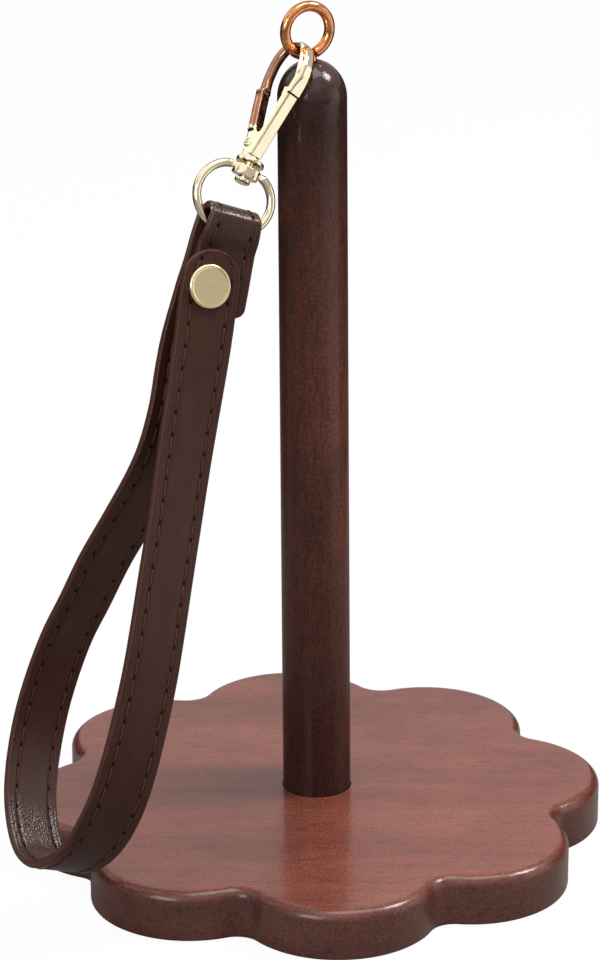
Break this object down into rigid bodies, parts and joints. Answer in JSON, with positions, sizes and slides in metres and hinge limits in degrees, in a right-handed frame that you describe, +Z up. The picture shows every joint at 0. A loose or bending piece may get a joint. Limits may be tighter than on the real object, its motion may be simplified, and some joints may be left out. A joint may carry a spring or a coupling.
{
  "type": "yarn ball holder",
  "caption": "Flower-shaped wooden foot with a round post for a yarn ball, and a stitched wrist strap hung from a screw eye by a swivel snap hook.",
  "frame": {"origin": "centre of the foot's flat underside, on the post's axis", "axes": "+Z up along the post; the picture is taken from -Y, and the strap hangs towards -X and -Y"},
  "size_m": [0.1165, 0.1189, 0.1688],
  "materials": {
    "foot_wood": "reddish brown stain under satin lacquer",
    "post_wood": "very dark brown stain under satin lacquer",
    "plain_steel": "bright zinc plated",
    "copper_plate": "polished copper-coloured plating on steel wire",
    "pale_gold_plate": "polished pale gold plating on a zinc casting, sheet and wire",
    "strap_leather": "smooth dark brown leather, stitched along both edges"
  },
  "bodies": {
    "stand": {"base": "foot_wood", "post": "post_wood", "dowel_screw": "plain_steel", "screw_eye": "copper_plate"},
    "clasp": {"clasp_hook": "pale_gold_plate", "gate_pin": "pale_gold_plate"},
    "gate": {"clasp_gate": "pale_gold_plate", "gate_spring": "plain_steel"},
    "swivel": {"swivel_ring": "pale_gold_plate"},
    "strap": {"strap_face": "strap_leather", "strap_lining": "strap_leather", "rivet_cap": "pale_gold_plate", "rivet_post": "pale_gold_plate"}
  },
  "joints": [
    {"name": "clasp_swing", "type": "hinge", "parent": "stand", "child": "clasp", "pos_m": [-0.00273, -0.00139, 0.15914], "axis": [-0.7867, -0.4009, 0.4695], "range_deg": [0, 8]},
    {"name": "gate_pivot", "type": "hinge", "parent": "clasp", "child": "gate", "pos_m": [-0.01092, -0.01074, 0.14406], "axis": [-0.6657, -0.416, 0.6194], "range_deg": [0, 20], "stiffness_Nm_per_rad": 0.0003},
    {"name": "ring_swivel", "type": "hinge", "parent": "clasp", "child": "swivel", "pos_m": [-0.01159, -0.01381, 0.14127], "axis": [0.3771, 0.5287, 0.7604], "range_deg": [0, 90]},
    {"name": "strap_swing", "type": "hinge", "parent": "swivel", "child": "strap", "pos_m": [-0.01529, -0.01877, 0.13069], "axis": [-0.8885, -0.3393, 0.309], "range_deg": [0, 12]}
  ]
}
